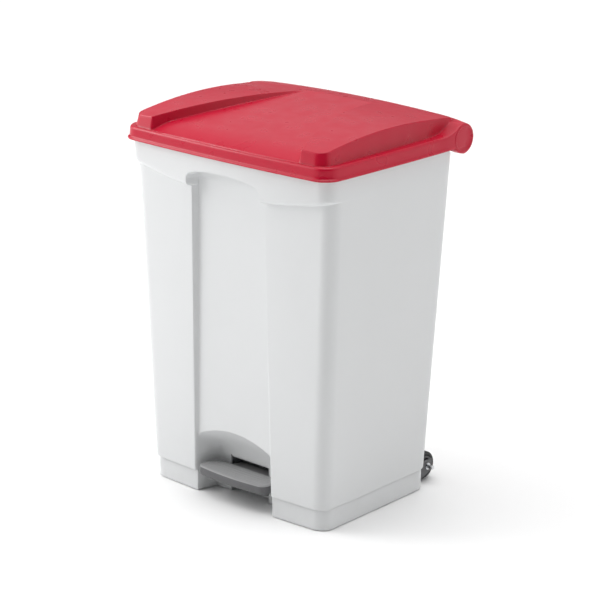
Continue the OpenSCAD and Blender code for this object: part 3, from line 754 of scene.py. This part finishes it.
def drill(obj, holes):
    """Cuts upright round holes, given as (x, y, radius), through a plate."""
    bm = bmesh.new()
    for x, y, radius in holes:
        made = bmesh.ops.create_cone(bm, cap_ends=True, segments=48, radius1=radius * MM, radius2=radius * MM,
                                     depth=40 * MM)
        bmesh.ops.translate(bm, verts=made["verts"], vec=(x * MM, y * MM, 0))
    mesh = bpy.data.meshes.new("drill")
    bm.to_mesh(mesh)
    bm.free()
    tool = bpy.data.objects.new("drill", mesh)
    bpy.context.scene.collection.objects.link(tool)
    cut = obj.modifiers.new("holes", "BOOLEAN")
    cut.operation, cut.solver, cut.object = "DIFFERENCE", "EXACT", tool
    done = bpy.data.meshes.new_from_object(obj.evaluated_get(bpy.context.evaluated_depsgraph_get()))
    obj.modifiers.clear()
    obj.data = done
    bpy.data.objects.remove(tool)
    obj.data.set_sharp_from_angle(angle=math.radians(38))


# ---- Lid ----

def lid_side_x(y, inset):
    """X of the lip's side at y."""
    t = np.clip((y - SIDE_START) / (SIDE_END - SIDE_START), 0, 1)
    return LIP_HALF_W + 9.5 * t + 8 * t * (1 - t) - inset


def chute_edge(y):
    """X of the wall between the chute and a wing: the chute narrows towards the rear."""
    y = np.maximum(y, -174)
    return 107 - 0.3227 * (y + 20) + 0.000467 * (y + 20) ** 2


def chute_depth(y):
    """How deep the chute lies between the wings: it comes up to their height at the rear."""
    t = np.clip((118 - y) / 268, 0, 1)
    return CHUTE_DEPTH * t * (2 - t)


def chute_wall(y):
    """Width in plan of the leaning wall between the chute and a wing."""
    return 2.6 + 2.2 * chute_depth(y) / CHUTE_DEPTH


def roll_radius(x, angle):
    """The roll's radius: it is a little higher in the middle of the lid."""
    crown = np.where(angle > 0, np.sin(angle) ** 2, 0)
    return ROLL_R + ROLL_CROWN * np.maximum(1 - (x / CROWN_HALF_W) ** 2, 0) * crown


ROLL_START = math.radians(81)


def roll_shift(x):
    """0 to 1 towards the roll's ends, where it gets thinner and its middle moves back and down."""
    return np.clip((np.abs(x) - 190) / 48, 0, 1) ** 2


def roll_point(x, angle, drop=0.0):
    """Y and Z on the roll, drop under its surface."""
    shift = roll_shift(x)
    r = roll_radius(x, angle) - ROLL_TAPER * shift - drop
    centre_y, centre_z = HINGE_Y + ROLL_TAPER * shift, HINGE_Z - ROLL_DROP * shift
    return centre_y + r * math.cos(angle), centre_z + r * math.sin(angle)


def rear_line(x):
    """Y and Z where the lid's top passes into the roll."""
    return roll_point(x, ROLL_START)


def lid_top(x, y):
    """The wings' and the chute's surface."""
    wing = ramp((np.abs(x) - chute_edge(y)) / chute_wall(y) + 0.5, 0.15)
    front = 13 * (np.maximum(0, -130 - y) / 50) ** 2

    def crown(at):
        side_fall = CHUTE_FALL + WING_FALL * wing
        return CROWN_Z - FRONT_FALL * (at / CROWN_LENGTH) ** 2 - side_fall * (x / CROWN_HALF_W) ** 2

    end_y, end_z = rear_line(x)
    chute = (1 - wing) * (chute_depth(y) + front)
    return crown(y) - chute + (end_z - crown(end_y)) * smooth((y - 90) / (end_y - 90))


def ledge_top(y):
    """The ledge around the wings: level, then a hollow rise onto the roll."""
    centre_y, centre_z, r = HINGE_Y + ROLL_TAPER, HINGE_Z - ROLL_DROP, ROLL_R - ROLL_TAPER
    on_roll = centre_z + np.sqrt(np.maximum(r ** 2 - (y - centre_y) ** 2, 0))
    meeting = centre_z + math.sqrt(r ** 2 - (141 - centre_y) ** 2)
    hollow = LEDGE_Z + (meeting - LEDGE_Z) * np.clip((y - 84) / 57, 0, 1) ** 3.2
    return np.where(y > 141, on_roll, hollow)


# Rings from the lip's lower edge inwards. Skirt rings: (inset, height, inset at the roll)
SKIRT = [(1.0, 610.0, 1.0), (0.25, 610.35, 0.7), (0.0, 611.2, 0.6), (0.15, 612.6, 0.6), (1.4, 613.9, 0.6),
         (2.5, 614.8, 0.6), (2.9, 616.2, 0.6), (3.3, 621.0, 0.6), (3.8, 626.5, 0.6)]
# Fillet rings: (inset, drop below the ledge, inset at the roll)
FILLET = [(4.0, 4.2, 0.6), (4.5, 2.6, 0.7), (5.5, 1.2, 1.0), (6.9, 0.3, 1.6), (8.4, 0.0, 2.6)]
LEDGE_SHARES = (0.3, 0.62)
# Insets from the foot of the wing's wall
WING = (-2.6, -1.6, -0.9, -0.4, 0.0, 0.4, 0.9, 1.8, 3.0, 3.8, 4.3, 4.6, 4.9, 5.3, 6.2, 9.0, 14.0)
# Columns at the wall between the chute and a wing, in widths of that wall
CHUTE_NEAR = (-0.95, -0.7, -0.6, -0.5, -0.4, -0.28, 0, 0.28, 0.4, 0.5, 0.6, 0.7, 0.95)
# Steps in half of a corner's arc, and Y of the rows along the side
ARC_HALF = 5
LID_ROWS = spread(-151, 22, 96, 22, 158.6)


def lid_columns(y, arc_start):
    """X of the front's columns at one y, from the middle outwards."""
    back = smooth((y + 170) / 320)
    edge, wall = chute_edge(y), chute_wall(y)
    near = [edge + wall * d for d in CHUTE_NEAR]
    first = 45 + (ROD_NOTCH - 45) * back
    notch_a = 177 + (KNUCKLE_X - KNUCKLE_NOTCH - 177) * back
    notch_b = 187 + (KNUCKLE_X + KNUCKLE_NOTCH - 187) * back
    return np.concatenate([
        spread(0, 4, first, 8, near[0])[:-1], near,
        spread(near[-1], 8, notch_a, 4, notch_b, 3, arc_start)[1:],
    ])


def lid_ring(half_w_front, side_x, front_y, bow, radius, height):
    """One ring of the right half: along the front, round the corner and back along the side."""
    start = half_w_front - radius
    xs = lid_columns(front_y, start)
    pts = [[x, front_y - bow * (1 - (x / start) ** 2)] for x in xs]
    for i in range(1, 2 * ARC_HALF + 1):
        a = math.radians(-90 + 90 * i / (2 * ARC_HALF))
        pts.append([start + radius * math.cos(a), front_y + radius + radius * math.sin(a)])
    shares = (LID_ROWS - LID_ROWS[0]) / (LID_ROWS[-1] - LID_ROWS[0])
    first = front_y + radius
    for share in shares[1:]:
        y = first + (LID_ROWS[-1] - first) * share
        pts.append([side_x(y), y])
    pts = np.array(pts, float)
    return np.column_stack([pts, height(pts[:, 0], pts[:, 1])])


def towards_roll(y):
    """0 on the lid's front and sides and 1 near the roll, where the lip and its fillet die out."""
    return smooth((y - 92) / 44)


def lid_rings():
    """The rings of the right half, from the lip's lower edge over the ledge and up the wing's wall."""
    rings = []

    def lip_ring(inset, roll_inset, height):
        def side(y):
            h = float(towards_roll(y))
            return float(lid_side_x(y, inset + (roll_inset - inset) * h))
        return lid_ring(LIP_HALF_W - inset, side, LIP_FRONT + inset, LIP_BOW, LIP_R - inset * 0.8, height)

    def fillet_share(y):
        return 1 - 0.6 * towards_roll(y)

    for inset, level, roll_inset in SKIRT:
        def height(x, y, level=level):
            top = ledge_top(y) - 4.2 * fillet_share(y)
            return np.where(level < 615, level, 614.8 + (level - 614.8) * (top - 614.8) / (628.3 - 614.8))
        rings.append(lip_ring(inset, roll_inset, height))
    for inset, drop, roll_inset in FILLET:
        rings.append(lip_ring(inset, roll_inset, lambda x, y, d=drop: ledge_top(y) - d * fillet_share(y)))
    last_lip, roll_lip = FILLET[-1][0], FILLET[-1][2]

    def wing_params(d):
        return WING_HALF_W - d, WING_FRONT + d, WING_BOW, WING_R - 0.7 * d

    def plain_height(d):
        def height(x, y):
            base = ledge_top(y)
            groove = 0.5 * np.exp(-((d + 0.9) / 0.9) ** 2) * (1 - towards_roll(y))
            return base + (lid_top(x, y) - base) * ramp(d / WALL_LEAN, 0.14) - groove
        return height

    w0, f0, b0, r0 = wing_params(WING[0])
    for share in LEDGE_SHARES:
        def side(y, s=share):
            h = float(towards_roll(y))
            outer = float(lid_side_x(y, last_lip + (roll_lip - last_lip) * h))
            return outer + (w0 - outer) * s
        lip = LIP_HALF_W - last_lip, LIP_FRONT + last_lip, LIP_BOW, LIP_R - last_lip * 0.8
        w, f, b, r = (a + (c - a) * share for a, c in zip(lip, (w0, f0, b0, r0)))
        rings.append(lid_ring(w, side, f, b, r, lambda x, y: ledge_top(y)))
    for d in WING:
        w, f, b, r = wing_params(d)
        rings.append(lid_ring(w, lambda y, w=w: w, f, b, r, plain_height(d)))
    rings = np.array(rings)
    # every ring ends on the line where the roll starts
    end_y, end_z = rear_line(rings[:, -1, 0])
    rings[:, -1, 1] = end_y
    rings[len(SKIRT) + len(FILLET) - 1:, -1, 2] = end_z[len(SKIRT) + len(FILLET) - 1:]
    return rings


def lid_interior(ring):
    """The grid inside the innermost ring: rows run to the roll, columns from the middle outwards."""
    corner = len(ring) - len(LID_ROWS) + 1 - ARC_HALF - 1
    front, side = ring[:corner + 1], ring[corner:]
    straight = corner - ARC_HALF
    rows, cols = len(side), len(front)
    along = (side[:, 1] - side[0, 1]) / (side[-1, 1] - side[0, 1])
    share = (front[straight:, 0] - front[straight, 0]) / (front[-1, 0] - front[straight, 0])
    start_front = front[straight, 0]
    grid = np.zeros((rows, cols, 3))
    rear_x = lid_columns(LID_ROWS[-1], start_front)
    for j in range(rows):
        for i in range(cols):
            end_y = float(rear_line(rear_x[i] if i <= straight else side[-1, 0])[0])
            y = front[i, 1] + (end_y - front[i, 1]) * along[j]
            if i <= straight:
                x = front[i, 0] if j == 0 else lid_columns(y, start_front)[i]
            else:
                inner = lid_columns(y, start_front)[straight]
                x = inner + (side[j, 0] - inner) * share[i - straight]
            if i == cols - 1:
                x, y = side[j, 0], side[j, 1]
            grid[j, i] = (x, y, 0)
    grid[0] = front
    grid[1:, :, 2] = lid_top(grid[1:, :, 0], grid[1:, :, 1])
    grid[:, -1] = side
    end_y, end_z = rear_line(grid[-1, :, 0])
    grid[-1, :, 1], grid[-1, :, 2] = end_y, end_z
    return grid


def make_lid():
    rings = lid_rings()
    interior = lid_interior(rings[-1])
    # the roll: rear edge points from the middle outwards, carried round the hinge
    first = len(SKIRT)
    edge_x = np.concatenate([interior[-1, :, 0], rings[first:-1, -1, 0][::-1]])
    drop = np.zeros(len(edge_x))
    fillet_drop = [0.4 * d for _, d, _ in FILLET]
    drop[-len(FILLET):] = fillet_drop[::-1]
    angles = np.radians(spread(81, 12, NOTCH_ANGLE, 17, -90))
    roll = np.zeros((len(angles), len(edge_x), 3))
    for k, a in enumerate(angles):
        roll[k] = np.stack([edge_x, *roll_point(edge_x, a, drop)], 1)
    rings[first:, -1, 1:] = roll[0, ::-1][:len(rings) - first, 1:]
    low = angles[:-1] < math.radians(NOTCH_ANGLE) + 1e-6
    mid_x = (edge_x[:-1] + edge_x[1:]) / 2
    cut = (np.abs(mid_x - KNUCKLE_X) < KNUCKLE_NOTCH) | (mid_x < ROD_NOTCH)
    keep = ~(low[:, None] & cut[None, :])
    sheet = Sheet().add(rings).add(interior).add(roll, keep).mirror()
    piece("lid_shell", thicken(sheet, LID_T), "lid", MATERIALS["red_plastic"], ["lid"])

    face = CAD_HIGH.x / MM
    rim, edge = ROLL_R - ROLL_TAPER - 0.6, 2.4
    turn = [math.radians(90 * i / 8) for i in range(9)]
    profile = [(0, face - 15), (rim, face - 15)]
    profile += [(rim - edge + edge * math.cos(a), face - 0.03 - edge + edge * math.sin(a)) for a in turn]
    profile += [(rim - 4.2, face - 0.03), (rim - 4.8, face - 0.5), (rim - 5.4, face - 0.9), (6, face - 0.9),
                (0, face - 0.9)]
    for side, name in SIDES:
        piece("roll_end_" + name, lathe(profile, side, HINGE_Y + ROLL_TAPER, HINGE_Z - ROLL_DROP), "lid",
              MATERIALS["red_plastic"], ["hinge_cap_" + name])
    make_lid_ribs()


RIB_XS, RIB_T = (15.0, 130.0, 180.0, 222.0), 3.0


def make_lid_ribs():
    """Webs under the lid that carry it on its hinge rod."""
    def arc(r, low):
        turn = [math.radians(a) for a in range(low, 91, 8)]
        return [(HINGE_Y + r * math.cos(a), HINGE_Z + r * math.sin(a)) for a in turn]

    plain = arc(24.6, -150) + [(HINGE_Y - 20, 652), (HINGE_Y - 52, 653), (HINGE_Y - 54, 646)]
    outer = arc(20.0, -102) + [(HINGE_Y - 14, 640), (HINGE_Y - 26, 634), (HINGE_Y - 40, 629),
                               (HINGE_Y - 42, 625)]
    for x in RIB_XS:
        for side, name in SIDES:
            plate = upright_plate(outer if x > 200 else plain, x, x + RIB_T, side)
            piece(f"lid_rib_{name}_{int(x)}", plate, "lid", MATERIALS["red_plastic"],
                  bevel=0.5)


# ---- Pedal tread ----

TREAD_BACK, TREAD_CORNER, TREAD_BACK_CORNER, TREAD_EDGE = -119.0, 11.0, 5.0, 1.2
# Rows are counted from the front over this length, and the cross ribs start and repeat in it
TREAD_ROWS, TREAD_RIB, RIB_FIRST, RIB_PITCH, HATCH_PITCH = 45.0, 0.7, 7.6, 7.3, 5.0
# Rings of the tread's sides: (depth below the rounded edge, inset)
TREAD_SKIRT = ((0.6, 0.0), (3.0, 0.0), (7.0, 0.0), (9.6, 0.05), (10.4, 0.3), (10.8, 0.9))
TONGUE_HALF_W = 40.0


def make_tread():
    low, high = (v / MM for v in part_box("pedal_tread"))
    top, front, back, half_w = high.z, low.y, TREAD_BACK, high.x
    corner, back_corner, edge = TREAD_CORNER, TREAD_BACK_CORNER, TREAD_EDGE
    v_rows = np.concatenate([[0, 0.2, 0.6, 1.2, 2.0, 2.8], np.arange(3.6, 42.4, 0.5),
                             [43.0, 43.8, 44.5, TREAD_ROWS]])
    u_cols = np.concatenate([[0, 0.2, 0.6, 1.2, 2.2], np.arange(3.4, half_w, 1.25), [half_w]])
    xs = half_w - u_cols
    grid = np.zeros((len(v_rows), len(xs), 3))
    for j, v in enumerate(v_rows):
        share, far = v / TREAD_ROWS, TREAD_ROWS - v
        width = half_w - 14 * smooth((share - 0.35) / 0.9)
        if v < corner:
            width -= corner - math.sqrt(corner ** 2 - (corner - v) ** 2)
        if far < back_corner:
            width -= back_corner - math.sqrt(back_corner ** 2 - (back_corner - far) ** 2)
        x = xs * width / half_w
        near = front + 6 * (x / half_w) ** 2
        grid[j, :, 0], grid[j, :, 1] = x, near + (back - near) * share
    from_edge = np.minimum.outer(np.minimum(v_rows, TREAD_ROWS - v_rows), u_cols)
    fall = edge - np.sqrt(edge ** 2 - (edge - np.minimum(from_edge, edge)) ** 2)
    inside = smooth((from_edge - 2.6) / 1.2)
    along = v_rows[:, None]
    wave = np.cos(2 * math.pi * (along - RIB_FIRST) / RIB_PITCH)
    rib = smooth(2.8 * (wave - 0.64)) * (along > 4) * (along < 41)
    hatch = smooth(2.4 * (np.cos(2 * math.pi * grid[..., 0] / HATCH_PITCH) - 0.55))
    # the border stands as high as the ribs, so it also takes their painted highlight as a pale line round the edge
    border = smooth((from_edge - 0.5) / 0.7) * smooth((2.8 - from_edge) / 0.9)
    raised = TREAD_RIB * np.maximum(inside * rib, border) + 0.15 * inside * hatch * (1 - rib)
    grid[..., 2] = top - TREAD_RIB - fall + raised
    # the sides run down to the lower edge, which is rounded
    outline = np.concatenate([grid[0, ::-1], grid[1:, 0], grid[-1, 1:]])
    skirt = [outline]
    for depth, inset in TREAD_SKIRT:
        ring = outline.copy()
        ring[:, 2] = top - TREAD_RIB - edge - depth
        ring[:, 0] *= 1 - inset / half_w
        ring[:, 1] += inset * np.clip(((front + back) / 2 - ring[:, 1]) / 20, -1, 1)
        skirt.append(ring)
    sheet = Sheet().add(grid).add(np.array(skirt)).mirror()
    # painted highlight: between these heights the ribs' and the border's upper faces are painted paler grey
    painted_highlight_heights = [(top - share * TREAD_RIB) * MM for share in (0.6, 0.1)]
    ribbed = plastic("grey plastic with painted rib highlights", (0.14, 0.14, 0.145), 0.5, grain=1300.0, scuff=0.2, tint=0.88,
                     specular=0.3, painted_highlight_heights=painted_highlight_heights)
    piece("tread_pad", thicken(sheet, 2.4, 2), "pedal", ribbed, ["pedal_tread"], sharp=50)
    near, far = back - 3, back + 30
    tongue = [(-TONGUE_HALF_W, near), (TONGUE_HALF_W, near), (TONGUE_HALF_W, far), (-TONGUE_HALF_W, far)]
    piece("tread_tongue", slab(tongue, top - 9.5, top - 2.4), "pedal", MATERIALS["grey_plastic"],
          bevel=1.4)


# ---- Setting ----

def area_light(name, place, target, size, power):
    data = bpy.data.lights.new(name, "AREA")
    data.shape = "RECTANGLE"
    data.size, data.size_y = size
    data.energy = power
    obj = bpy.data.objects.new(name, data)
    obj.location = place
    obj.rotation_mode = "QUATERNION"
    obj.rotation_quaternion = (Vector(target) - Vector(place)).to_track_quat("-Z", "Y")
    bpy.context.scene.collection.objects.link(obj)


# Soft lights: name, direction towards the light, strength, spread in degrees
SUNS = [("overhead", (0.0, 0.05, 1.0), 2.15, 64), ("left", (-0.92, -0.55, 0.42), 1.3, 70),
        ("right", (0.8, 0.6, 0.36), 0.9, 70)]
# The camera stands to the front right and looks down: place in metres, angles in degrees
CAMERA_PLACE, CAMERA_AZIMUTH, CAMERA_ELEVATION, CAMERA_LENS = (2.518, -2.809, 1.553), 41.69, 17.97, 139.1
# The sky is dim except round this direction, above and behind the bin as the camera sees it
SKY_BRIGHT = (-0.47, 0.528, 0.707)
FLOOR_HALF_W = 30.0


def make_camera():
    azimuth, elevation = math.radians(CAMERA_AZIMUTH), math.radians(CAMERA_ELEVATION)
    data = bpy.data.cameras.new("camera")
    data.sensor_width, data.lens = 36.0, CAMERA_LENS
    data.clip_start, data.clip_end = 0.1, 100.0
    camera = bpy.data.objects.new("camera", data)
    camera.location = CAMERA_PLACE
    towards = Vector((-math.sin(azimuth) * math.cos(elevation), math.cos(azimuth) * math.cos(elevation),
                      -math.sin(elevation)))
    camera.rotation_mode = "QUATERNION"
    camera.rotation_quaternion = towards.to_track_quat("-Z", "Y")
    bpy.context.scene.collection.objects.link(camera)
    bpy.context.scene.camera = camera


def make_sky():
    world = bpy.data.worlds.new("soft light")
    world.use_nodes = True
    tree = world.node_tree
    background = tree.nodes["Background"]
    background.inputs["Color"].default_value = (1.0, 1.0, 1.0, 1.0)
    facing = tree.nodes.new("ShaderNodeVectorMath")
    facing.operation = "DOT_PRODUCT"
    facing.inputs[1].default_value = SKY_BRIGHT
    tree.links.new(tree.nodes.new("ShaderNodeTexCoord").outputs["Generated"], facing.inputs[0])
    span = tree.nodes.new("ShaderNodeMapRange")
    span.interpolation_type = "SMOOTHSTEP"
    span.inputs["From Min"].default_value = 0.72
    span.inputs["From Max"].default_value = 0.97
    span.inputs["To Min"].default_value = 0.05
    span.inputs["To Max"].default_value = 0.75
    tree.links.new(facing.outputs["Value"], span.inputs["Value"])
    tree.links.new(span.outputs["Result"], background.inputs["Strength"])
    bpy.context.scene.world = world


def make_lights():
    for name, towards_light, strength, spread_angle in SUNS:
        sun = bpy.data.lights.new(name, "SUN")
        sun.energy, sun.angle = strength, math.radians(spread_angle)
        lamp = bpy.data.objects.new(name, sun)
        lamp.rotation_mode = "QUATERNION"
        lamp.rotation_quaternion = Vector(towards_light).to_track_quat("Z", "Y")
        bpy.context.scene.collection.objects.link(lamp)
    area_light("left_box", (-1.5, -1.1, 1.35), (0, -0.1, 0.5), (1.0, 1.0), 16)


def make_floor():
    mesh = bpy.data.meshes.new("floor")
    corners = [(-1, -1), (1, -1), (1, 1), (-1, 1)]
    mesh.from_pydata([(FLOOR_HALF_W * x, FLOOR_HALF_W * y, 0) for x, y in corners], [], [(0, 1, 2, 3)])
    floor = bpy.data.objects.new("floor", mesh)
    bpy.context.scene.collection.objects.link(floor)
    n = Nodes("pale floor")
    cloudy = n.mix(n.noise(3.0, 2.0, 0.5), (0.965, 0.965, 0.965), (0.98, 0.98, 0.98))
    n.link(cloudy, n.shader.inputs["Base Color"])
    n.shader.inputs["Roughness"].default_value = 0.75
    n.shader.inputs["Specular IOR Level"].default_value = 0.1
    mesh.materials.append(n.material)


bpy.context.scene.view_settings.view_transform = "Standard"
make_camera()
make_sky()
make_lights()
make_floor()
finish_cad_nodes()
make_tub()
make_knuckles()
make_base()
make_lid()
make_tread()
